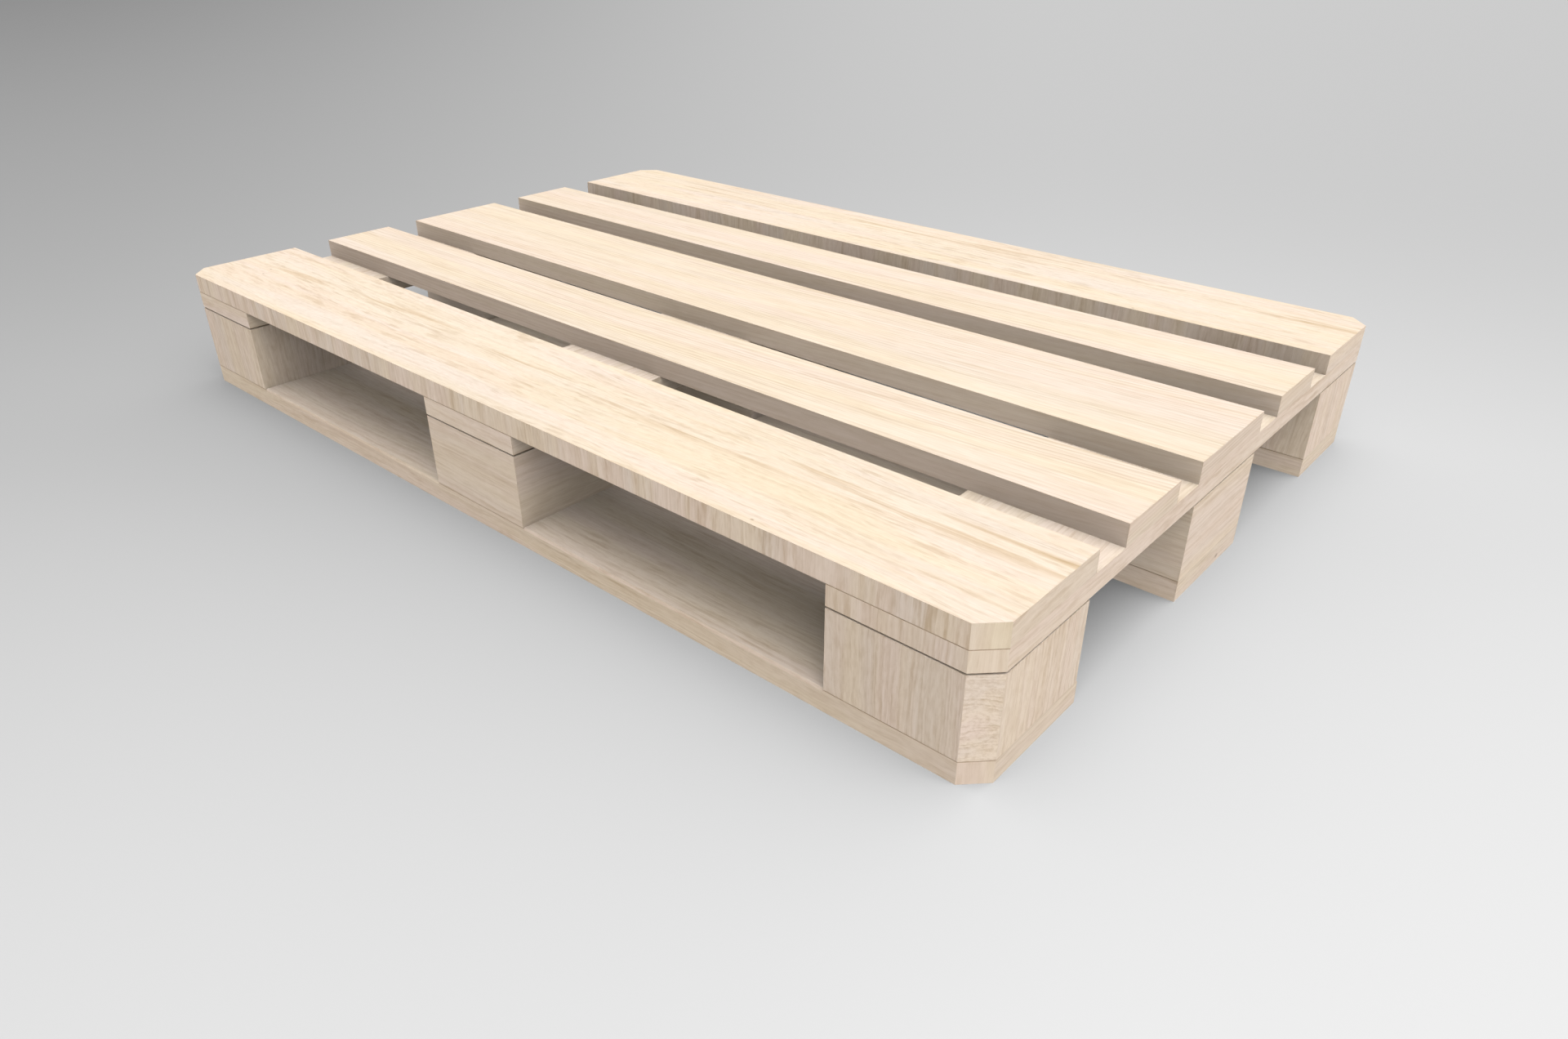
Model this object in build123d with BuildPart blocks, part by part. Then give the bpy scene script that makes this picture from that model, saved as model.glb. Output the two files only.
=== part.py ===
"""Four-way block pallet: boards, blocks and the nails that join them.

Millimetres. The origin is on the floor under the middle of the pallet. +X runs along
the deck boards, +Y across them and +Z up. The front is the long side that faces -Y.
"""

import os
from math import sqrt

from build123d import *

os.makedirs("parts", exist_ok=True)

# Overall size, and the 45 degree cut on the four upright corners
LENGTH = 1200
WIDTH = 800
CORNER_CUT = 20

# Layers, from the floor up
BOTTOM_THICKNESS = 22
BLOCK_HEIGHT = 78
CROSS_THICKNESS = 22
DECK_THICKNESS = 22
BLOCK_BASE = BOTTOM_THICKNESS
CROSS_BASE = BLOCK_BASE + BLOCK_HEIGHT
DECK_BASE = CROSS_BASE + CROSS_THICKNESS
DECK_TOP = DECK_BASE + DECK_THICKNESS

# Columns of blocks, each under one cross board: middle of each in X
COLUMN_WIDTH = 145
END_COLUMN = (LENGTH - COLUMN_WIDTH) / 2
COLUMNS = {"left": -END_COLUMN, "centre": 0, "right": END_COLUMN}
BAY_LENGTH = END_COLUMN - COLUMN_WIDTH
BAY_MIDDLES = (-END_COLUMN / 2, END_COLUMN / 2)

# Rows of blocks: middle of each in Y. The centre row stands a little behind the middle.
ROW_DEPTH = 140
END_ROW = (WIDTH - ROW_DEPTH) / 2
CENTRE_ROW = 2
ROWS = {"front": -END_ROW, "centre": CENTRE_ROW, "back": END_ROW}

# Boards that run along X: (Y of the front edge, width). Sawn widths vary a little.
DECK_BOARDS = {
    "front_outer": (-WIDTH / 2, 144),
    "front_inner": (-207, 94),
    "centre": (CENTRE_ROW - ROW_DEPTH / 2, ROW_DEPTH),
    "back_inner": (118, 94),
    "back_outer": (WIDTH / 2 - ROW_DEPTH, ROW_DEPTH),
}
BOTTOM_BOARDS = {
    "front": (-WIDTH / 2, 142),
    "centre": (CENTRE_ROW - ROW_DEPTH / 2, ROW_DEPTH),
    "back": (WIDTH / 2 - ROW_DEPTH, ROW_DEPTH),
}

# 45 degree edge breaks
SEAM_ARRIS = 0.8  # upper edges that lie under another piece
CROSS_UNDERCUT = 2  # lower edges of the cross boards, over the blocks
ENTRY_CHAMFER = 2  # upper edges of the bottom boards, where a pallet truck's wheels climb

# Ring-shank nails with flat countersunk heads
DECK_NAIL_LENGTH = 90
DECK_NAIL_RADIUS = 1.9
DECK_NAIL_HEAD = 4
DECK_NAIL_RINGS = 8
SHORT_NAIL_LENGTH = 38
SHORT_NAIL_RADIUS = 1.4
SHORT_NAIL_HEAD = 3
SHORT_NAIL_RINGS = 3
BOTTOM_NAIL_LENGTH = 70
BOTTOM_NAIL_RADIUS = 1.7
BOTTOM_NAIL_HEAD = 3.5
BOTTOM_NAIL_RINGS = 6
HEAD_RIM = 0.8
POINT_LENGTH = 5
RING_PITCH = 4
RING_DEPTH = 0.25
COVERED_DEPTH = 3  # wood left closed over the heads in the deck
HEAD_RECESS = 1  # bottom heads stand this far inside the underside

# Nail patterns about the middle of a block and of an inner deck board's crossing
NAIL_STEP_X = 45
BLOCK_NAIL_Y = 40
CROSSING_NAIL_Y = 28


def footprint(x, y, length, width, base):
    """Outline of a piece about (x, y) at a height, with the pallet's corners cut off it."""
    with BuildSketch(Plane.XY.offset(base)) as outline:
        with Locations((x, y)):
            Rectangle(length, width)
        corners = outline.vertices().filter_by(
            lambda corner: abs(corner.X) > LENGTH / 2 - 1 and abs(corner.Y) > WIDTH / 2 - 1
        )
        if corners:
            chamfer(corners, length=CORNER_CUT)
    return outline.sketch


def turned(points):
    """Solid turned about Z from a half section given as (radius, height) points."""
    with BuildPart() as solid:
        with BuildSketch(Plane.XZ):
            with BuildLine():
                Polyline(*points, close=True)
            make_face()
        revolve(axis=Axis.Z)
    return solid.part


def nail(length, radius, head, rings):
    """Nail that points down, with the top of its head at the origin."""
    points = [(0, 0), (head, 0), (head, -HEAD_RIM), (radius, radius - head - HEAD_RIM)]
    rings_end = POINT_LENGTH - length
    for ring in range(rings, 0, -1):
        crest = rings_end + ring * RING_PITCH
        points.append((radius, crest))
        points.append((radius - RING_DEPTH, crest - 0.7 * RING_PITCH))
    points.append((radius, rings_end))
    points.append((0, -length))
    return turned(points)


def nail_hole(length, radius, head, open_above):
    """Hole that the nail fills, open above its head by the height given."""
    return turned(
        [
            (0, open_above),
            (head, open_above),
            (head, -HEAD_RIM),
            (radius, radius - head - HEAD_RIM),
            (radius, POINT_LENGTH - length),
            (0, -length),
        ]
    )


def block_nail_spots(column, row, side, height, turn):
    """Three nails in a block, in a V whose middle nail is on the side given by a sign."""
    x = COLUMNS[column]
    y = ROWS[row]
    offsets = [(-NAIL_STEP_X, -side), (0, side), (NAIL_STEP_X, -side)]
    return [Location((x + dx, y + sign * BLOCK_NAIL_Y, height), (turn, 0, 0)) for dx, sign in offsets]


def deck_nail_spots(column, row):
    """Long nails, from the deck through a cross board into a block."""
    return block_nail_spots(column, row, 1, DECK_TOP - COVERED_DEPTH, 0)


def bottom_nail_spots(column, row):
    """Nails driven up through a bottom board into a block."""
    return block_nail_spots(column, row, -1, HEAD_RECESS, 180)


def short_nail_spots(column, board):
    """Four short nails where an inner deck board crosses a cross board."""
    front_edge, width = DECK_BOARDS[board]
    x = COLUMNS[column]
    y = front_edge + width / 2
    return [
        Location((x + dx, y + dy, DECK_TOP - COVERED_DEPTH))
        for dx in (-NAIL_STEP_X, NAIL_STEP_X)
        for dy in (-CROSSING_NAIL_Y, CROSSING_NAIL_Y)
    ]


def write(piece, name):
    """Label a finished piece and write its STEP file."""
    piece.part.label = name
    export_step(piece.part, f"parts/{name}.step")


deck_nail = nail(DECK_NAIL_LENGTH, DECK_NAIL_RADIUS, DECK_NAIL_HEAD, DECK_NAIL_RINGS)
deck_nail_hole = nail_hole(DECK_NAIL_LENGTH, DECK_NAIL_RADIUS, DECK_NAIL_HEAD, 0)
short_nail = nail(SHORT_NAIL_LENGTH, SHORT_NAIL_RADIUS, SHORT_NAIL_HEAD, SHORT_NAIL_RINGS)
short_nail_hole = nail_hole(SHORT_NAIL_LENGTH, SHORT_NAIL_RADIUS, SHORT_NAIL_HEAD, 0)
bottom_nail = nail(BOTTOM_NAIL_LENGTH, BOTTOM_NAIL_RADIUS, BOTTOM_NAIL_HEAD, BOTTOM_NAIL_RINGS)
bottom_nail_hole = nail_hole(BOTTOM_NAIL_LENGTH, BOTTOM_NAIL_RADIUS, BOTTOM_NAIL_HEAD, HEAD_RECESS)

# Which row of blocks each wide deck board is nailed down to
DECK_BOARD_ROWS = {"front_outer": "front", "centre": "centre", "back_outer": "back"}
INNER_BOARDS = [board for board in DECK_BOARDS if board not in DECK_BOARD_ROWS]

# Bottom boards
for row, (front_edge, width) in BOTTOM_BOARDS.items():
    with BuildPart() as bottom_board:
        outline = footprint(0, front_edge + width / 2, LENGTH, width, 0)
        extrude(outline, amount=BOTTOM_THICKNESS)
        top_edges = bottom_board.faces().sort_by(Axis.Z)[-1].edges()
        chamfer(top_edges.filter_by(Axis.Y, reverse=True), length=SEAM_ARRIS)
        for bay_middle in BAY_MIDDLES:
            with BuildSketch(Plane.YZ.offset(bay_middle)):
                with Locations((front_edge, BOTTOM_THICKNESS), (front_edge + width, BOTTOM_THICKNESS)):
                    Rectangle(ENTRY_CHAMFER * sqrt(2), ENTRY_CHAMFER * sqrt(2), rotation=45)
            extrude(amount=BAY_LENGTH / 2, both=True, mode=Mode.SUBTRACT)
        for column in COLUMNS:
            with Locations(*bottom_nail_spots(column, row)):
                add(bottom_nail_hole, mode=Mode.SUBTRACT)
    write(bottom_board, f"bottom_board_{row}")

# Blocks
for column, x in COLUMNS.items():
    for row, y in ROWS.items():
        with BuildPart() as block:
            extrude(footprint(x, y, COLUMN_WIDTH, ROW_DEPTH, BLOCK_BASE), amount=BLOCK_HEIGHT)
            with Locations(*bottom_nail_spots(column, row)):
                add(bottom_nail_hole, mode=Mode.SUBTRACT)
            with Locations(*deck_nail_spots(column, row)):
                add(deck_nail_hole, mode=Mode.SUBTRACT)
        write(block, f"block_{row}_{column}")

# Cross boards
for column, x in COLUMNS.items():
    with BuildPart() as cross_board:
        extrude(footprint(x, 0, COLUMN_WIDTH, WIDTH, CROSS_BASE), amount=CROSS_THICKNESS)
        chamfer(cross_board.faces().sort_by(Axis.Z)[0].edges(), length=CROSS_UNDERCUT)
        top_edges = cross_board.faces().sort_by(Axis.Z)[-1].edges()
        chamfer(top_edges.filter_by(Axis.Y, reverse=True), length=SEAM_ARRIS)
        for row in ROWS:
            with Locations(*deck_nail_spots(column, row)):
                add(deck_nail_hole, mode=Mode.SUBTRACT)
        for board in INNER_BOARDS:
            with Locations(*short_nail_spots(column, board)):
                add(short_nail_hole, mode=Mode.SUBTRACT)
    write(cross_board, f"cross_board_{column}")

# Deck boards
for board, (front_edge, width) in DECK_BOARDS.items():
    with BuildPart() as deck_board:
        outline = footprint(0, front_edge + width / 2, LENGTH, width, DECK_BASE)
        extrude(outline, amount=DECK_THICKNESS)
        for column in COLUMNS:
            if board in INNER_BOARDS:
                with Locations(*short_nail_spots(column, board)):
                    add(short_nail_hole, mode=Mode.SUBTRACT)
            else:
                with Locations(*deck_nail_spots(column, DECK_BOARD_ROWS[board])):
                    add(deck_nail_hole, mode=Mode.SUBTRACT)
    write(deck_board, f"deck_board_{board}")

# Nails, in one node for each board that they hold
for row in ROWS:
    with BuildPart() as deck_nails:
        for column in COLUMNS:
            with Locations(*deck_nail_spots(column, row)):
                add(deck_nail)
    write(deck_nails, f"deck_nails_{row}")

    with BuildPart() as bottom_nails:
        for column in COLUMNS:
            with Locations(*bottom_nail_spots(column, row)):
                add(bottom_nail)
    write(bottom_nails, f"bottom_nails_{row}")

for board in INNER_BOARDS:
    with BuildPart() as short_nails:
        for column in COLUMNS:
            with Locations(*short_nail_spots(column, board)):
                add(short_nail)
    write(short_nails, f"short_nails_{board}")
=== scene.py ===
"""Looks of the wooden pallet: sawn pale wood on every board and block, steel nails, a pale
studio floor and soft light from all round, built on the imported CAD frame."""
import math

import bpy
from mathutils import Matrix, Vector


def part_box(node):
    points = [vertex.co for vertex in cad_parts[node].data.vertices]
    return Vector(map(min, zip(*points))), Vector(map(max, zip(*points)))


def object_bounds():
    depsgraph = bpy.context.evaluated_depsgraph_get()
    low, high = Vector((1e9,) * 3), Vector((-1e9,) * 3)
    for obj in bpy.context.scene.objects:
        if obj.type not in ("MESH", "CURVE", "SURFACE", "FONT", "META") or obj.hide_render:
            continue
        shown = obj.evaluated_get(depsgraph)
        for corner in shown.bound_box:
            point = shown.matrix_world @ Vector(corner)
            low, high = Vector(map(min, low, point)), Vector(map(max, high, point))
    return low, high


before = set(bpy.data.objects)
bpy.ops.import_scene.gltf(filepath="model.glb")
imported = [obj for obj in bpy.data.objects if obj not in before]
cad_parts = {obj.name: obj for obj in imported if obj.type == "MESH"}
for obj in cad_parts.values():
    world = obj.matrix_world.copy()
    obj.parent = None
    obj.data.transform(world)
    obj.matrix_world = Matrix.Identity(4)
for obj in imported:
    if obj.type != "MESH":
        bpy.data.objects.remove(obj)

CAD_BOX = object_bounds()
MM = 0.001

# Camera: where it stands, measured from the middle of the footprint, and how it is turned.
CAMERA_AT = (0.877, -0.930, 0.566)
CAMERA_HEADING = 41.13
CAMERA_PITCH = 29.92
CAMERA_LENS = 25.04
SENSOR_WIDTH = 36.0

# Soft light from all round. Each entry is a wide patch of sky: its name, its heading and height
# in degrees, how tightly it is gathered, and how bright it is.
SKY_LIGHTS = (
    ("overhead", 0, 90, 8, 2.70),
    ("right_high", 0, 45, 4, 1.00),
    ("front_right_high", -45, 45, 4, 1.60),
    ("left", 180, 15, 4, 0.46),
    ("back", 90, 15, 4, 0.95),
    ("back_right", 45, 15, 4, 0.15),
)
GLOW_FROM_BELOW = 0.57

# Floor: a painted pool of light, palest in front of the pallet's front right corner, greyer further
# off and to the back left. The greys are set as reflectances, and the fade is in metres.
STUDIO_RADIUS = 45.0
STUDIO_FACETS = 96
FLOOR_BRIGHTEST_AT = (0.99, -0.87)
FLOOR_NEAR = 0.680
FLOOR_FAR = 0.455
FLOOR_FADE = 1.57
FLOOR_FADE_POWER = 2.6

# Painted shade on one side of the floor: the heading of that side in degrees, the cosines of the
# angles from it at which the shade starts and is full, its depth, and how far off it sets in.
FLOOR_DARK_HEADING = 230
FLOOR_DARK_FROM = -0.39
FLOOR_DARK_TO = 0.50
FLOOR_PAINTED_SHADE = 0.61
FLOOR_DARK_REACH = 3.9

# Round the pallet the floor has painted light and painted shadow: a narrow paler rim of painted
# bounce light, paler still at the front and the right end, and there only a broader darker band of
# painted shadow. The reaches are in metres. The front and the right end start at a slanting line
# through the pallet's middle, and their part in it grows up to FRONT_FULL.
FRONT_SLANT = 1.5
FRONT_FULL = 0.6
RIM_REACH = 0.05
RIM_PAINTED_LIGHT = 0.10
RIM_PAINTED_LIGHT_IN_FRONT = 0.09
AROUND_REACH = 0.20
AROUND_PAINTED_SHADOW_IN_FRONT = 0.12

# How far from its brightest place the floor starts to turn into the backdrop, and has done so.
FLOOR_ENDS_FROM = 9.0
FLOOR_ENDS_AT = 45.0
BACKDROP_GREY = 0.60

# The shade under the floor: its reach along and across the pallet, how far below the floor it
# is, and how much light it stops.
SHADE_X = (-0.56, 0.36)
SHADE_Y = (-0.33, 0.33)
SHADE_BELOW = 1 * MM
SHADE_STOPS = 0.55

# Wood colours, as reflectances.
YELLOW_WOOD = (0.860, 0.718, 0.568)
PINK_WOOD = (0.861, 0.709, 0.595)
GREY_WOOD = (0.825, 0.703, 0.600)
DARK_GRAIN = (0.72, 0.65, 0.55)
BROWN_STREAK = (0.80, 0.71, 0.58)
GOLDEN_STREAK = (0.992, 0.978, 0.925)
KNOT_BROWN = (0.35, 0.24, 0.16)
# Painted shade: dark seam lines on the facets where two pieces meet.
PAINTED_SEAM_SHADE = (0.76, 0.68, 0.60)
# Painted shade: a darker tone on every slanted facet along the edges.
PAINTED_FACET_SHADE = (0.88, 0.86, 0.84)

# The nails: their steel colours, the sizes of what shows on them, in features to the metre, and
# how rough they are and how deep the drawn lines on them.
BRIGHT_STEEL = (0.56, 0.56, 0.57)
DULL_STEEL = (0.36, 0.34, 0.32)
DULL_PATCH = (300, 300, 300)
DRAWN_LINE = (2500, 2500, 90)
STEEL_ROUGHNESS = 0.25
DRAWN_ROUGHNESS = 0.25
DRAWN_RELIEF = 0.2
DRAWN_DEPTH = 0.05 * MM


class Nodes:
    """Short calls that add shader nodes to one node tree."""

    def __init__(self, tree):
        self.tree = tree
        self.tree.nodes.clear()

    def add(self, kind, **settings):
        node = self.tree.nodes.new("ShaderNode" + kind)
        for name, value in settings.items():
            setattr(node, name, value)
        return node

    def put(self, socket, value):
        """Links a socket to another node's output, or sets it to a constant."""
        if isinstance(value, bpy.types.NodeSocket):
            self.tree.links.new(value, socket)
        elif value is not None:
            if socket.type == "RGBA" and len(value) == 3:
                value = (*value, 1.0)
            socket.default_value = value

    def fill(self, sockets, values):
        for socket, value in zip(sockets, values):
            self.put(socket, value)

    def math(self, operation, a, b=None, c=None):
        node = self.add("Math", operation=operation)
        self.fill(node.inputs, (a, b, c))
        return node.outputs[0]

    def vector(self, operation, a, b=None):
        node = self.add("VectorMath", operation=operation)
        self.fill(node.inputs, (a, b))
        return node.outputs["Value" if operation in ("LENGTH", "DOT_PRODUCT") else "Vector"]

    def split(self, vector):
        node = self.add("SeparateXYZ")
        self.put(node.inputs[0], vector)
        return node.outputs[0], node.outputs[1], node.outputs[2]

    def join(self, x, y, z):
        node = self.add("CombineXYZ")
        self.fill(node.inputs, (x, y, z))
        return node.outputs[0]

    def pick(self, factor, a, b):
        """The vector a where factor is 0, and b where it is 1."""
        node = self.add("Mix", data_type="VECTOR")
        self.fill((node.inputs[0], node.inputs[4], node.inputs[5]), (factor, a, b))
        return node.outputs[1]

    def blend(self, factor, a, b, mode="MIX"):
        """The colour a where factor is 0, and b where it is 1."""
        node = self.add("Mix", data_type="RGBA", blend_type=mode)
        self.fill((node.inputs[0], node.inputs[6], node.inputs[7]), (factor, a, b))
        return node.outputs[2]

    def tint(self, factor, colour, by):
        """The colour, multiplied by another where factor is 1."""
        return self.blend(factor, colour, by, mode="MULTIPLY")

    def ease(self, value, low, high, to_low=0.0, to_high=1.0):
        """Runs from to_low to to_high as value goes from low to high, with soft ends. On a noise,
        the two levels set how much of the surface the mark covers, and how crisp it is."""
        node = self.add("MapRange", interpolation_type="SMOOTHSTEP")
        self.fill(node.inputs, (value, low, high, to_low, to_high))
        return node.outputs[0]

    def noise(self, vector, stretch, detail=2.0, roughness=0.5):
        """Noise from about 0 to 1, with stretch features to the metre along each axis."""
        node = self.add("TexNoise", noise_dimensions="3D")
        self.put(node.inputs["Vector"], self.vector("MULTIPLY", vector, stretch))
        node.inputs["Scale"].default_value = 1.0
        node.inputs["Detail"].default_value = detail
        node.inputs["Roughness"].default_value = roughness
        return node.outputs["Fac"]

    def swing(self, vector, stretch, width, detail=2.0):
        """Noise that swings to both sides of 0, over about this width."""
        centred = self.math("SUBTRACT", self.noise(vector, stretch, detail), 0.5)
        return self.math("MULTIPLY", centred, width)

    def bump(self, height, strength, distance):
        node = self.add("Bump")
        node.inputs["Strength"].default_value = strength
        node.inputs["Distance"].default_value = distance
        self.put(node.inputs["Height"], height)
        return node.outputs[0]

    def glow(self, grey):
        node = self.add("Emission")
        node.inputs["Color"].default_value = (grey, grey, grey, 1)
        return node

    def mix_shaders(self, factor, a, b):
        """The shader a where factor is 0, and b where it is 1."""
        node = self.add("MixShader")
        self.fill(node.inputs, (factor, a.outputs[0], b.outputs[0]))
        return node

    def surface(self, shader):
        self.put(self.add("OutputMaterial").inputs["Surface"], shader.outputs[0])


def new_material(name):
    material = bpy.data.materials.new(name)
    material.use_nodes = True
    return material, Nodes(material.node_tree)


# ---------------------------------------------------------------- wood

# How the grain lies on each kind of face of a piece: flat (up or down), side (facing front or
# back), end (facing left or right) and cut (the cut corners).
LONG_BOARD = {"flat": "x", "side": "x", "end": "y", "cut": "z"}
OUTER_BOARD = {"flat": "x", "side": "z", "end": "y", "cut": "z"}
CROSS_BOARD = {"flat": "y", "side": "x", "end": "y", "cut": "z"}
STREAKED_CROSS_BOARD = {"flat": "y", "side": "z", "end": "y", "cut": "z"}
UPRIGHT_BLOCK = {"flat": "x", "side": "z", "end": "z", "cut": "x"}
LYING_BLOCK = {"flat": "x", "side": "x", "end": "y", "cut": "x"}

# How far each noise is moved from one piece to the next, and the grey patches from the warm ones.
NOISE_STEP = (1.37, 2.11, 0.73)
SPACING_STEP = 3.7
STRIPE_STEP = 1.9
GREY_AWAY = (5.1, 0.0, 3.3)

# The sizes of what shows in the wood, in features to the metre along the grain, across it and
# into the face. The drift of the spacing is counted across the growth lines only.
WANDER = (1.3, 8, 8)
RIPPLE = (9, 38, 38)
WAVE = (48, 75, 75)
SPACING_DRIFT = (70, 1, 1)
LINE_FADE = (3.5, 40, 40)
FIBRE = (20, 330, 330)
FINE_FIBRE = (45, 1100, 1100)
DASH = (24, 200, 200)
DASH_PATCH = (5, 24, 24)
PORE = (75, 800, 800)
MOTTLE = (110, 260, 260)
WARM_PATCH = (2.6, 26, 26)
GREY_PATCH = (2.2, 30, 30)
GOLD_STREAK = (2.4, 42, 42)
HEART_SWAY = (1.7, 1, 1)
HEART_STREAK = (4.2, 105, 105)
STRIPE_BEND = (26, 26, 26)
STRIPE = (140, 95, 1)
WORN_PATCH = (60, 60, 60)

# On the slanting cuts x is scaled by this, so that the grain there is drawn out to twice its
# length.
CUT_SLANT = math.sqrt(2) / 2

# The growth lines fan out from this far along the piece, measured from its middle, and more and
# more between these distances across it.
FAN_START = -0.05
FAN_ACROSS = (-0.07, 0.09)
FAN_LEAST = 0.25

# The band along the heart: how wide it sways, where it is full and where it ends, measured from
# its middle, and how strong its ground and its streaks are.
HEART_SWAY_WIDTH = 0.045
HEART_ENDS = (0.004, 0.026)
HEART_GROUND = 0.65
HEART_STREAKS = 0.80

# The stripes on the edges: how long they are drawn, how far they bend, and how much fainter they
# are on the ends and cuts.
STRIPE_STRETCH = 0.06
STRIPE_BEND_WIDTH = 0.012
STRIPE_FAINTER = 0.6

# Specks are drawn out along the grain. Their dark middle is this part of their radius.
SPECK_SQUEEZE = (0.6, 1.0, 0.0)
SPECK_MIDDLE = 0.3
SPECK_STRENGTH = 0.5

# How dark the marks are, and the darkness that stays the same where the figure is made bolder.
FIGURE_MIDDLE = 0.30
CUT_FLECKS_FAINTER = 0.5
FINE_FIBRE_STRENGTH = 0.10
WORN_STRENGTH = 0.22
WORN_REACH = 2.2 * MM

# The surface: its roughness and height change with the fibres and the darkness.
WOOD_ROUGHNESS = 0.50
FIBRE_ROUGHNESS = 0.20
DARK_ROUGHNESS = 0.10
WOOD_SPECULAR = 0.22
FIBRE_HEIGHT = 0.8
DARK_LOWER = 0.6
WOOD_RELIEF = 0.4 * MM


def along_grain(n, place, normal, grain):
    """Coordinates along the grain, across it and into the face, and for each kind of face a value
    that is 1 on it and 0 elsewhere. The facets are the small slanting faces along the edges, and
    they also count as flat."""
    x, y, z = n.split(place)
    facing_x, facing_y, facing_z = n.split(n.vector("ABSOLUTE", normal))
    faces = {
        "flat": n.math("GREATER_THAN", facing_z, 0.6),
        "side": n.math("GREATER_THAN", facing_y, 0.9),
        "end": n.math("GREATER_THAN", facing_x, 0.9),
    }
    others = n.math("ADD", n.math("ADD", faces["flat"], faces["side"]), faces["end"])
    faces["cut"] = n.math("LESS_THAN", others, 0.5)
    faces["facet"] = n.math("MULTIPLY", faces["flat"], n.math("LESS_THAN", facing_z, 0.9))
    run = n.math("MULTIPLY", x, CUT_SLANT)
    axes = {
        "flat": {"x": (x, y, z), "y": (y, x, z)},
        "side": {"x": (x, z, y), "z": (z, x, y)},
        "end": {"y": (y, z, x), "z": (z, y, x)},
        "cut": {"x": (run, z, y), "z": (z, run, y)},
    }
    local = n.join(*axes["cut"][grain["cut"]])
    for face in ("end", "side", "flat"):
        local = n.pick(faces[face], local, n.join(*axes[face][grain[face]]))
    return local, faces


def nearness_to_edge(n, place, half, reach):
    """1 on the edges of the piece's box and 0 further than reach from them."""
    parts = zip(half, n.split(place))
    gaps = [n.math("SUBTRACT", size, n.math("ABSOLUTE", part)) for size, part in parts]
    low = n.math("MINIMUM", gaps[0], gaps[1])
    high = n.math("MAXIMUM", gaps[0], gaps[1])
    second = n.math("MAXIMUM", low, n.math("MINIMUM", high, gaps[2]))
    return n.ease(second, 0.0, reach, 1.0, 0.0)


def growth_run(n, local, spot, look):
    """The distance across the growth lines, which fan out along the piece, wander and ripple."""
    along, across, _ = n.split(local)
    fan = n.math("MULTIPLY", n.math("MAXIMUM", n.math("ADD", along, -FAN_START), 0.0), look["fan"])
    fan = n.math("MULTIPLY", fan, n.ease(across, *FAN_ACROSS, FAN_LEAST, 1.0))
    line = n.math("SUBTRACT", across, fan)
    line = n.math("ADD", line, n.swing(spot, WANDER, look["wander"]))
    line = n.math("ADD", line, n.swing(spot, RIPPLE, look["ripple"]))
    return n.math("ADD", line, n.swing(spot, WAVE, look["wave"], detail=1))


def growth_lines(n, line, flow, seed, look):
    """Growth lines, unevenly spaced, that fade in and out along the grain."""
    slow = n.noise(n.join(line, seed * SPACING_STEP, 0.0), SPACING_DRIFT, detail=2)
    uneven = n.math("MULTIPLY", slow, look["uneven"])
    count = n.math("ADD", n.math("DIVIDE", line, look["spacing"]), uneven)
    phase = n.math("FRACT", count)
    growth = n.math("MULTIPLY", n.ease(phase, 0.20, 0.85), n.ease(phase, 0.87, 1.0, 1.0, 0.0))
    return n.math("MULTIPLY", growth, n.ease(n.noise(flow, LINE_FADE), 0.34, 0.64, 0.15, 1.0))


def saw_dashes(n, spot, flow):
    """Short dark dashes, in patches, where the saw opened the grain."""
    dashes = n.ease(n.noise(flow, DASH, detail=3), 0.50, 0.66)
    return n.math("MULTIPLY", dashes, n.ease(n.noise(spot, DASH_PATCH), 0.36, 0.60, 0.1, 1.0))


def figure(n, growth, fibre, dashes, faces, look):
    """How dark the growth lines, fibres and dashes make the wood. They are bolder or fainter on
    the side, end and cut faces than on the flat ones."""
    dark = n.math("MULTIPLY", growth, look["growth"])
    dark = n.math("ADD", dark, n.math("MULTIPLY", n.ease(fibre, 0.36, 0.72), look["fibre"]))
    dark = n.math("ADD", dark, n.math("MULTIPLY", dashes, look["dashes"]))
    bolder = n.math("MULTIPLY", faces["cut"], look["cut"] - 1.0)
    bolder = n.math("MULTIPLY_ADD", faces["end"], look["end"] - 1.0, bolder)
    bolder = n.math("MULTIPLY_ADD", faces["side"], look["side"] - 1.0, bolder)
    return n.math("MULTIPLY_ADD", n.math("SUBTRACT", dark, FIGURE_MIDDLE), bolder, dark)


def add_flecks(n, dark, flow, faces, look):
    """Adds the mottle and pores, half as strong on the cut corners, and the finest fibres."""
    pores = n.ease(n.noise(flow, PORE, detail=1), 0.56, 0.72)
    mottle = n.ease(n.noise(flow, MOTTLE, detail=2, roughness=0.6), 0.40, 0.66)
    flecks = n.math("MULTIPLY_ADD", mottle, look["mottle"], n.math("MULTIPLY", pores, look["pores"]))
    sparse = n.math("SUBTRACT", 1.0, n.math("MULTIPLY", faces["cut"], CUT_FLECKS_FAINTER))
    dark = n.math("MULTIPLY_ADD", flecks, sparse, dark)
    fine = n.ease(n.noise(flow, FINE_FIBRE, detail=2), 0.35, 0.70)
    return n.math("ADD", dark, n.math("MULTIPLY", fine, FINE_FIBRE_STRENGTH))


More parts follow.
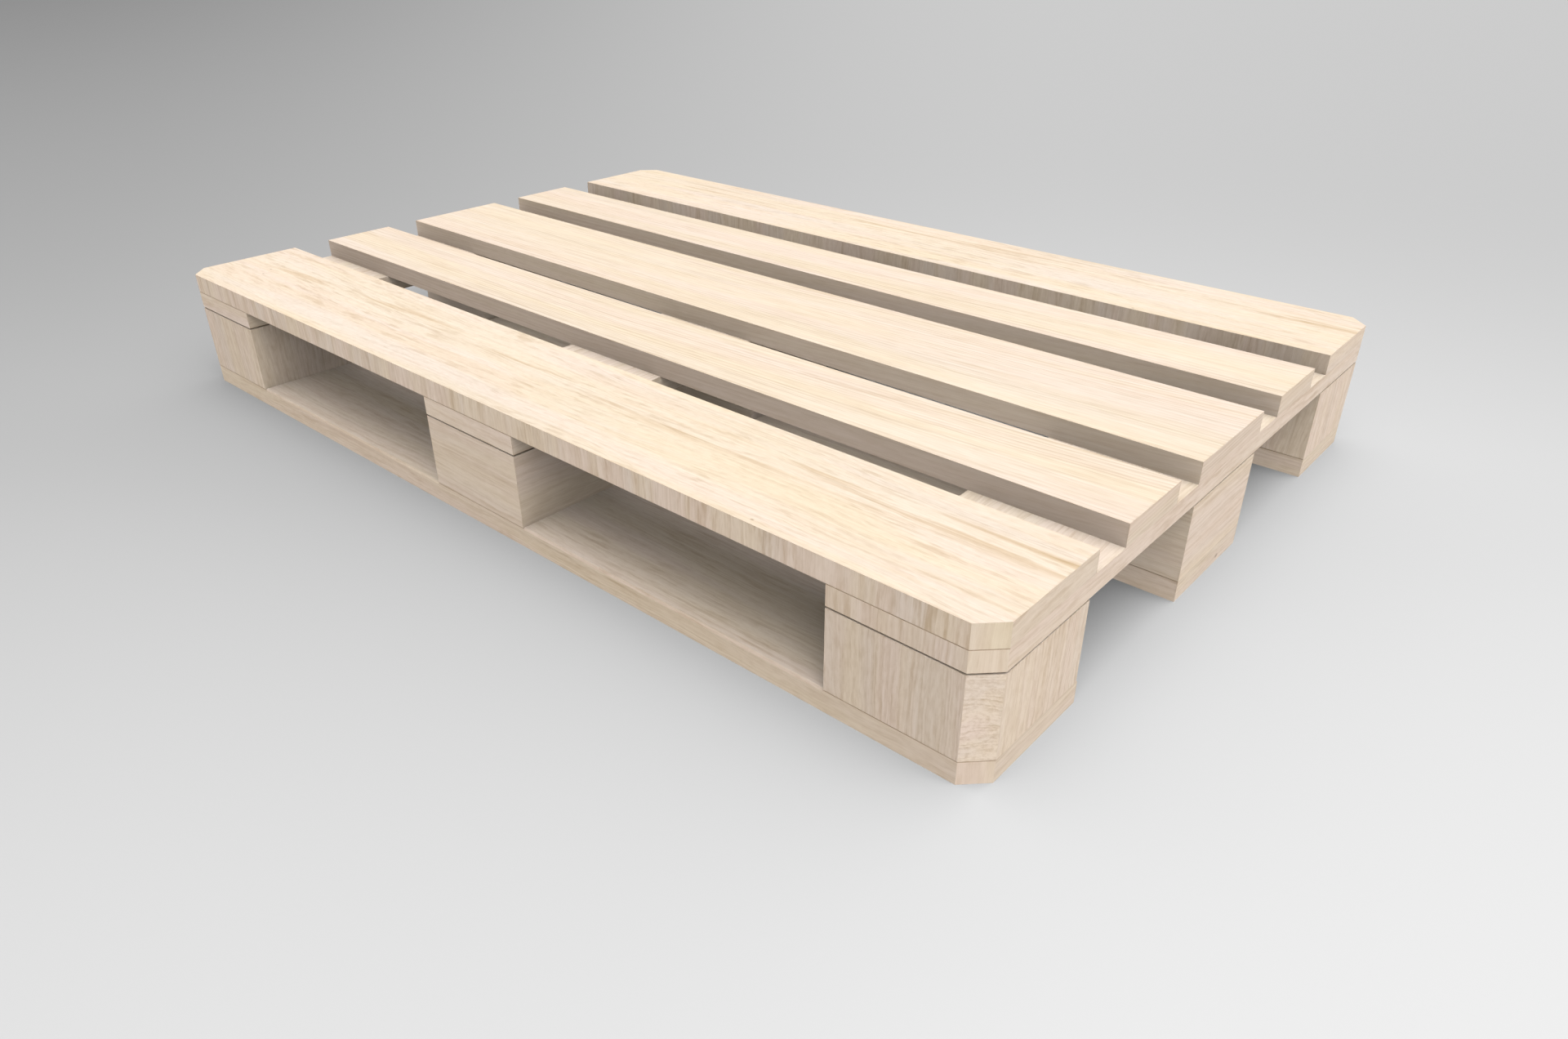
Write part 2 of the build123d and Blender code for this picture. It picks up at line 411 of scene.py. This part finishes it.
def add_stripes(n, dark, local, spot, faces, seed, strength):
    """Adds broad stripes across the thickness, unlike from one stretch of the edge to the next."""
    along, across, _ = n.split(local)
    bent = n.math("MULTIPLY_ADD", n.noise(spot, STRIPE_BEND), STRIPE_BEND_WIDTH, across)
    stretched = n.join(n.math("MULTIPLY", along, STRIPE_STRETCH), bent, seed * STRIPE_STEP)
    stripe = n.noise(stretched, STRIPE, detail=3)
    stripe = n.math("MULTIPLY", n.ease(stripe, 0.44, 0.66), n.math("SUBTRACT", 1.0, faces["flat"]))
    fainter = n.math("MULTIPLY", n.math("ADD", faces["cut"], faces["end"]), STRIPE_FAINTER)
    stripe = n.math("MULTIPLY", stripe, n.math("SUBTRACT", 1.0, fainter))
    return n.math("ADD", dark, n.math("MULTIPLY", stripe, strength))


def add_wear(n, dark, place, half, spot):
    """Adds rubbed patches along the edges."""
    edge = nearness_to_edge(n, place, half, WORN_REACH)
    rub = n.math("MULTIPLY", edge, n.ease(n.noise(spot, WORN_PATCH, detail=3), 0.42, 0.62))
    return n.math("ADD", dark, n.math("MULTIPLY", rub, WORN_STRENGTH))


def clean_wood(n, flow, look):
    """The wood's own colour, which drifts slowly between yellowish, pinkish and greyish."""
    warm = n.ease(n.noise(flow, WARM_PATCH, detail=2), 0.38, 0.62)
    cool = n.ease(n.noise(n.vector("ADD", flow, GREY_AWAY), GREY_PATCH, detail=2), 0.45, 0.68)
    colour = n.blend(warm, PINK_WOOD, YELLOW_WOOD)
    return n.blend(n.math("MULTIPLY", cool, look["grey"]), colour, GREY_WOOD)


def add_gold(n, colour, spot, faces, strength):
    """Adds golden streaks along the grain of the flat faces."""
    gold = n.math("MULTIPLY", n.ease(n.noise(spot, GOLD_STREAK, detail=2), 0.42, 0.60), strength)
    return n.tint(n.math("MULTIPLY", gold, faces["flat"]), colour, GOLDEN_STREAK)


def add_heart(n, colour, local, spot, faces, middle):
    """Adds a band of bolder brown streaks along the board, where the saw ran close to the heart."""
    across = n.math("ADD", n.split(local)[1], n.swing(spot, HEART_SWAY, HEART_SWAY_WIDTH))
    off = n.math("ABSOLUTE", n.math("SUBTRACT", across, middle))
    band = n.math("MULTIPLY", n.ease(off, *HEART_ENDS, 1.0, 0.0), faces["flat"])
    bold = n.ease(n.noise(spot, HEART_STREAK, detail=2, roughness=0.6), 0.50, 0.66)
    streaks = n.math("MULTIPLY", n.math("MULTIPLY", band, bold), HEART_STREAKS)
    colour = n.blend(n.math("MULTIPLY", band, HEART_GROUND), colour, YELLOW_WOOD)
    return n.tint(streaks, colour, BROWN_STREAK)


def painted_seam_mask(n, is_facet, place, look):
    """1 on the facets where two pieces meet, which get painted shade: the dark line of a seam. The
    chamfers of a bottom board between its blocks get no such shade."""
    if "clean" not in look:
        return is_facet
    left, right = look["clean"]
    x = n.math("ABSOLUTE", n.split(place)[0])
    reach = n.math("ABSOLUTE", n.math("SUBTRACT", x, (left + right) / 2))
    return n.math("MULTIPLY", is_facet, n.math("GREATER_THAN", reach, (right - left) / 2))


def paint_face_light_and_shade(n, colour, place, faces, look):
    """Paints light and shade on each kind of face by its own tint, and paints shade on the facets and
    seams.
    """
    for face, by in look["painted_face_light"].items():
        colour = n.tint(faces[face], colour, by)
    colour = n.tint(faces["facet"], colour, PAINTED_FACET_SHADE)
    return n.tint(painted_seam_mask(n, faces["facet"], place, look), colour, PAINTED_SEAM_SHADE)


def add_specks(n, colour, local, faces, specks):
    """Adds small dark knots. Each is given by its kind of face, where it lies along and across
    the grain from the middle of the piece, and its radius."""
    for face, along, across, radius in specks:
        off = n.vector("SUBTRACT", local, (along, across, 0.0))
        away = n.vector("LENGTH", n.vector("MULTIPLY", off, SPECK_SQUEEZE))
        mark = n.ease(away, SPECK_MIDDLE * radius, radius, SPECK_STRENGTH, 0.0)
        colour = n.tint(n.math("MULTIPLY", mark, faces[face]), colour, KNOT_BROWN)
    return colour


def sawn_surface(n, colour, fibre, dark, strength):
    """A matte shader, a little rougher and lower where the wood is darker."""
    shader = n.add("BsdfPrincipled")
    n.put(shader.inputs["Base Color"], colour)
    rough_fibre = n.math("MULTIPLY", fibre, FIBRE_ROUGHNESS)
    rough = n.math("ADD", rough_fibre, n.math("MULTIPLY", dark, DARK_ROUGHNESS))
    n.put(shader.inputs["Roughness"], n.math("ADD", rough, WOOD_ROUGHNESS))
    shader.inputs["Specular IOR Level"].default_value = WOOD_SPECULAR
    high_fibre = n.math("MULTIPLY", fibre, FIBRE_HEIGHT)
    height = n.math("SUBTRACT", high_fibre, n.math("MULTIPLY", dark, DARK_LOWER))
    n.put(shader.inputs["Normal"], n.bump(height, strength, WOOD_RELIEF))
    n.surface(shader)


def wood(name, low, high, grain, seed, look):
    """Sawn wood for one piece. Its growth lines, fibres, dashes and pores run along the grain."""
    material, n = new_material(name)
    source = n.add("TexCoord")
    place = n.vector("SUBTRACT", source.outputs["Object"], tuple((low + high) / 2))
    local, faces = along_grain(n, place, source.outputs["Normal"], grain)
    shift = [seed * step for step in NOISE_STEP]
    spot = n.vector("ADD", local, shift)
    line = growth_run(n, local, spot, look)
    along, _, depth = n.split(local)
    # The fibres follow the growth lines, and run further the lower the look's shortness.
    run = n.math("MULTIPLY_ADD", along, look["shortness"], shift[0])
    flow = n.join(run, n.math("ADD", line, shift[1]), n.math("ADD", depth, shift[2]))
    fibre = n.noise(flow, FIBRE, detail=3, roughness=0.65)

    growth = growth_lines(n, line, flow, seed, look)
    dark = figure(n, growth, fibre, saw_dashes(n, spot, flow), faces, look)
    dark = add_flecks(n, dark, flow, faces, look)
    if "bands" in look:
        dark = add_stripes(n, dark, local, spot, faces, seed, look["bands"])
    dark = add_wear(n, dark, place, (high - low) / 2, spot)

    colour = clean_wood(n, flow, look)
    if "gold" in look:
        colour = add_gold(n, colour, spot, faces, look["gold"])
    if "heart" in look:
        colour = add_heart(n, colour, local, spot, faces, look["heart"])
    colour = n.tint(n.math("MAXIMUM", n.math("MINIMUM", dark, 1.0), 0.0), colour, DARK_GRAIN)
    colour = paint_face_light_and_shade(n, colour, place, faces, look)
    colour = add_specks(n, colour, local, faces, look.get("specks", ()))
    sawn_surface(n, colour, fibre, dark, look["relief"])
    return material


def painted_face_light(**by_face):
    """Tints of some kinds of face, over the one that all flat faces have. They are mostly painted
    light and shade, each face brighter or darker as the light falls on it, and the flat faces
    cooler as under the light from above, with slight colour shifts of the wood itself.
    """
    return {"flat": (0.98, 1.006, 1.025), **by_face}


def grey(level):
    return (level, level, level)


# Each look's face tints are painted light and shade by kind of face.
FINE = {
    "spacing": 4.5 * MM, "uneven": 2.5, "shortness": 0.4,
    "wander": 0.014, "ripple": 0.002, "wave": 0.0005, "fan": 0.065,
    "growth": 0.40, "fibre": 0.30, "dashes": 0.20, "pores": 0.16, "mottle": 0.12,
    "side": 0.5, "end": 0.7, "cut": 0.5,
    "grey": 0.5, "gold": 0.6, "relief": 0.25, "painted_face_light": painted_face_light(side=grey(1.01)),
}
BOLD = {
    "spacing": 7 * MM, "uneven": 6.0, "shortness": 1.0,
    "wander": 0.060, "ripple": 0.009, "wave": 0.0015, "fan": 0.0,
    "growth": 0.20, "fibre": 0.22, "dashes": 0.40, "pores": 0.18, "mottle": 0.12,
    "side": 1.0, "end": 1.0, "cut": 0.8,
    "grey": 0.8, "gold": 1.0, "relief": 0.3, "heart": 25 * MM, "bands": 0.28,
    "painted_face_light": painted_face_light(side=grey(1.06), end=(0.965, 0.965, 0.985), cut=(1.030, 1.050, 1.015)),
}
BLOCK = {
    "spacing": 5.5 * MM, "uneven": 5.0, "shortness": 0.8,
    "wander": 0.050, "ripple": 0.009, "wave": 0.0024, "fan": 0.0,
    "growth": 0.28, "fibre": 0.33, "dashes": 0.22, "pores": 0.18, "mottle": 0.22,
    "side": 1.0, "end": 1.05, "cut": 1.5,
    "grey": 0.6, "relief": 0.35, "painted_face_light": painted_face_light(cut=(1.02, 1.02, 1.035)),
}
SMOOTH_BLOCK = {
    "spacing": 14 * MM, "uneven": 6.0, "shortness": 0.55,
    "wander": 0.030, "ripple": 0.007, "wave": 0.002, "fan": 0.0,
    "growth": 0.32, "fibre": 0.24, "dashes": 0.12, "pores": 0.16, "mottle": 0.16,
    "side": 1.0, "end": 1.0, "cut": 1.0,
    "grey": 0.5, "relief": 0.3, "painted_face_light": painted_face_light(),
}
BASE = {
    "spacing": 8 * MM, "uneven": 6.0, "shortness": 0.8,
    "wander": 0.045, "ripple": 0.007, "wave": 0.002, "fan": 0.0,
    "growth": 0.30, "fibre": 0.26, "dashes": 0.34, "pores": 0.16, "mottle": 0.14,
    "side": 1.0, "end": 1.2, "cut": 0.8,
    "grey": 0.4, "relief": 0.3,
    "painted_face_light": painted_face_light(side=(1.06, 1.06, 1.07), cut=(1.035, 1.055, 1.015)),
}
BANDED = {**BASE, "bands": 0.25}
BOTTOM = {
    **BASE, "end": 0.9,
    "painted_face_light": painted_face_light(side=(0.955, 0.950, 0.930), end=(0.96, 0.965, 0.965)),
    "clean": (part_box("block_front_centre")[1].x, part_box("block_front_right")[0].x),
}
FRONT_SPECKS = (
    ("flat", -0.519, -0.013, 1.6 * MM),
    ("flat", -0.529, 0.002, 1.6 * MM),
    ("flat", 0.376, -0.066, 1.6 * MM),
)
# Painted light and shade on the back board's faces.
BACK_PAINTED_LIGHT = painted_face_light(side=grey(0.97), end=(1.02, 1.015, 1.025), cut=grey(1.02))

PIECES = {
    "deck_board_front_outer": (OUTER_BOARD, {**BOLD, "specks": FRONT_SPECKS}),
    "deck_board_back_outer": (OUTER_BOARD, {**BOLD, "painted_face_light": BACK_PAINTED_LIGHT, "specks": FRONT_SPECKS[2:]}),
    # The side tints here are painted light and shade on the faces in the gaps.
    "deck_board_front_inner": (LONG_BOARD, {**FINE, "painted_face_light": painted_face_light(side=grey(1.04))}),
    "deck_board_centre": (LONG_BOARD, {**FINE, "painted_face_light": painted_face_light(side=grey(1.07))}),
    "deck_board_back_inner": (LONG_BOARD, FINE),
    "cross_board_left": (CROSS_BOARD, BASE),
    "cross_board_centre": (CROSS_BOARD, BASE),
    "cross_board_right": (STREAKED_CROSS_BOARD, BANDED),
    "block_front_left": (UPRIGHT_BLOCK, BLOCK),
    "block_front_centre": (LYING_BLOCK, SMOOTH_BLOCK),
    "block_front_right": (UPRIGHT_BLOCK, BLOCK),
    "block_centre_left": (LYING_BLOCK, SMOOTH_BLOCK),
    "block_centre_centre": (LYING_BLOCK, SMOOTH_BLOCK),
    "block_centre_right": (LYING_BLOCK, SMOOTH_BLOCK),
    "block_back_left": (UPRIGHT_BLOCK, BLOCK),
    "block_back_centre": (LYING_BLOCK, SMOOTH_BLOCK),
    "block_back_right": (UPRIGHT_BLOCK, BLOCK),
    "bottom_board_front": (LONG_BOARD, BOTTOM),
    "bottom_board_centre": (LONG_BOARD, {**BOTTOM, "specks": (("end", 0.024, -0.0045, 3 * MM),)}),
    "bottom_board_back": (LONG_BOARD, BOTTOM),
}


# ---------------------------------------------------------------- steel

def nail_steel():
    """Bright drawn wire with a few duller patches."""
    material, n = new_material("nail_steel")
    place = n.add("TexCoord").outputs["Object"]
    dull = n.ease(n.noise(place, DULL_PATCH, detail=3), 0.4, 0.7)
    drawn = n.noise(place, DRAWN_LINE, detail=2)
    shader = n.add("BsdfPrincipled")
    n.put(shader.inputs["Base Color"], n.blend(dull, BRIGHT_STEEL, DULL_STEEL))
    rough = n.math("ADD", n.math("MULTIPLY", drawn, DRAWN_ROUGHNESS), STEEL_ROUGHNESS)
    n.put(shader.inputs["Roughness"], rough)
    shader.inputs["Metallic"].default_value = 1.0
    n.put(shader.inputs["Normal"], n.bump(drawn, DRAWN_RELIEF, DRAWN_DEPTH))
    n.surface(shader)
    return material


def finish_pieces():
    """Gives each board and block its own wood, and all the nails one steel."""
    steel = nail_steel()
    for number, (name, node) in enumerate(sorted(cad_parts.items())):
        if name in PIECES:
            grain, look = PIECES[name]
            material = wood("wood_" + name, *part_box(name), grain, number + 1, look)
        else:
            material = steel
        for slot in node.material_slots:
            slot.material = material


# ---------------------------------------------------------------- studio

def direction(heading, rise):
    """The unit vector at this heading and height, both in degrees."""
    heading, rise = math.radians(heading), math.radians(rise)
    return (math.cos(heading) * math.cos(rise), math.sin(heading) * math.cos(rise), math.sin(rise))


def painted_floor_light(n, on_floor):
    """The floor's grey with no pallet on it, painted as a pool of light with painted shade to one
    side, and the distance from its brightest place.
    """
    place = n.vector("SUBTRACT", on_floor, (*FLOOR_BRIGHTEST_AT, 0.0))
    away = n.vector("LENGTH", place)
    fade = n.math("POWER", n.math("DIVIDE", away, FLOOR_FADE), FLOOR_FADE_POWER)
    near = n.math("EXPONENT", n.math("MULTIPLY", fade, -1.0))
    level = n.math("MULTIPLY_ADD", near, FLOOR_NEAR - FLOOR_FAR, FLOOR_FAR)
    side = n.vector("DOT_PRODUCT", n.vector("NORMALIZE", place), direction(FLOOR_DARK_HEADING, 0))
    dark = n.ease(side, FLOOR_DARK_FROM, FLOOR_DARK_TO, 0.0, FLOOR_PAINTED_SHADE)
    reach = n.math("SUBTRACT", 1.0, n.math("EXPONENT", n.math("DIVIDE", away, -FLOOR_DARK_REACH)))
    return n.math("MULTIPLY", level, n.math("SUBTRACT", 1.0, n.math("MULTIPLY", dark, reach))), away


def painted_light_around_pallet(n, on_floor):
    """Painted bounce light right beside the pallet, as if the wood lit the floor, and painted
    shadow a little further out at the front and the right end."""
    x, y, _ = n.split(on_floor)
    past_x = n.math("MAXIMUM", n.math("SUBTRACT", n.math("ABSOLUTE", x), CAD_BOX[1][0]), 0.0)
    past_y = n.math("MAXIMUM", n.math("SUBTRACT", n.math("ABSOLUTE", y), CAD_BOX[1][1]), 0.0)
    away = n.vector("LENGTH", n.join(past_x, past_y, 0.0))
    rim = n.math("EXPONENT", n.math("DIVIDE", away, -RIM_REACH))
    around = n.math("EXPONENT", n.math("DIVIDE", away, -AROUND_REACH))
    front = n.ease(n.math("MULTIPLY_ADD", y, -FRONT_SLANT, x), 0.0, FRONT_FULL)
    paler = n.math("MULTIPLY", rim, n.math("MULTIPLY_ADD", front, RIM_PAINTED_LIGHT_IN_FRONT, RIM_PAINTED_LIGHT))
    darker = n.math("MULTIPLY", around, n.math("MULTIPLY", front, -AROUND_PAINTED_SHADOW_IN_FRONT))
    return n.math("ADD", n.math("ADD", paler, darker), 1.0)


def floor_material():
    """A matte floor that turns into the backdrop far off, with no line between them."""
    material, n = new_material("floor")
    on_floor = n.add("TexCoord").outputs["Object"]
    level, away = painted_floor_light(n, on_floor)
    matte = n.add("BsdfDiffuse")
    # The floor's colour carries painted light: the pool of light, the shade to one side, and the
    # bounce light and shadow round the pallet.
    n.put(matte.inputs["Color"], n.math("MULTIPLY", level, painted_light_around_pallet(n, on_floor)))
    closeness = n.math("DIVIDE", 1.0, away)
    far_off = n.ease(closeness, 1 / FLOOR_ENDS_AT, 1 / FLOOR_ENDS_FROM, 1.0, 0.0)
    n.surface(n.mix_shaders(far_off, matte, n.glow(BACKDROP_GREY)))
    return material


def backdrop_material():
    material, n = new_material("backdrop")
    n.surface(n.glow(BACKDROP_GREY))
    return material


def shade_material():
    """Stops part of the light and lets the rest through."""
    material, n = new_material("shade")
    black = n.add("BsdfDiffuse")
    black.inputs["Color"].default_value = (0, 0, 0, 1)
    n.surface(n.mix_shaders(SHADE_STOPS, n.add("BsdfTransparent"), black))
    return material


def make_floor():
    """A wide round floor that catches shadows, and lets the glow from below through."""
    bpy.ops.mesh.primitive_circle_add(vertices=STUDIO_FACETS, radius=STUDIO_RADIUS, fill_type="NGON")
    floor = bpy.context.object
    floor.name = "floor"
    floor.data.materials.append(floor_material())
    floor.visible_shadow = False
    floor.visible_diffuse = False
    return floor


def make_backdrop():
    """A round backdrop that only the camera sees."""
    bpy.ops.mesh.primitive_uv_sphere_add(
        segments=STUDIO_FACETS, ring_count=STUDIO_FACETS // 2, radius=STUDIO_RADIUS)
    backdrop = bpy.context.object
    backdrop.name = "backdrop"
    backdrop.data.materials.append(backdrop_material())
    backdrop.visible_shadow = False
    backdrop.visible_diffuse = False
    backdrop.visible_glossy = False
    backdrop.visible_transmission = False
    return backdrop


def make_shade():
    """A half dark sheet just under the floor, which the camera and reflections don't meet: it
    keeps part of the glow from below out of the inside of the pallet, as the shaded floor there
    does."""
    bpy.ops.mesh.primitive_plane_add(size=1)
    shade = bpy.context.object
    shade.name = "shade"
    shade.location = (sum(SHADE_X) / 2, sum(SHADE_Y) / 2, -SHADE_BELOW)
    shade.scale = (SHADE_X[1] - SHADE_X[0], SHADE_Y[1] - SHADE_Y[0], 1)
    shade.data.materials.append(shade_material())
    shade.visible_camera = False
    shade.visible_glossy = False
    return shade


def make_studio():
    """The floor inside its backdrop, and the shade under the floor."""
    floor = make_floor()
    backdrop = make_backdrop()
    make_shade()


def make_light():
    """A sky of broad soft patches, and a weak glow from below."""
    world = bpy.data.worlds.new("studio")
    bpy.context.scene.world = world
    world.use_nodes = True
    n = Nodes(world.node_tree)
    towards = n.add("TexCoord").outputs["Generated"]
    height = n.split(towards)[2]
    above = n.math("GREATER_THAN", height, 0.0)
    total = n.math("MULTIPLY", n.math("SUBTRACT", 1.0, above), GLOW_FROM_BELOW)
    for _, heading, rise, power, strength in SKY_LIGHTS:
        facing = n.math("MAXIMUM", n.vector("DOT_PRODUCT", towards, direction(heading, rise)), 0.0)
        patch = n.math("MULTIPLY", n.math("POWER", facing, power), strength)
        total = n.math("ADD", total, n.math("MULTIPLY", patch, above))
    sky = n.add("Background")
    n.put(sky.inputs["Color"], total)
    n.put(n.add("OutputWorld").inputs["Surface"], sky.outputs[0])
    # The light is soft enough on its own, so wood lights no other wood, and the gaps stay deep.
    bpy.context.scene.cycles.diffuse_bounces = 0
    bpy.context.scene.view_settings.view_transform = "Standard"


def make_camera():
    """A camera without roll, at the photograph's place and angle."""
    data = bpy.data.cameras.new("camera")
    data.lens = CAMERA_LENS
    data.sensor_width = SENSOR_WIDTH
    data.clip_start = 0.01
    data.clip_end = 3 * STUDIO_RADIUS
    camera = bpy.data.objects.new("camera", data)
    camera.location = CAMERA_AT
    camera.rotation_euler = (math.radians(90 - CAMERA_PITCH), 0, math.radians(CAMERA_HEADING))
    bpy.context.scene.collection.objects.link(camera)
    bpy.context.scene.camera = camera


finish_pieces()
make_studio()
make_light()
make_camera()
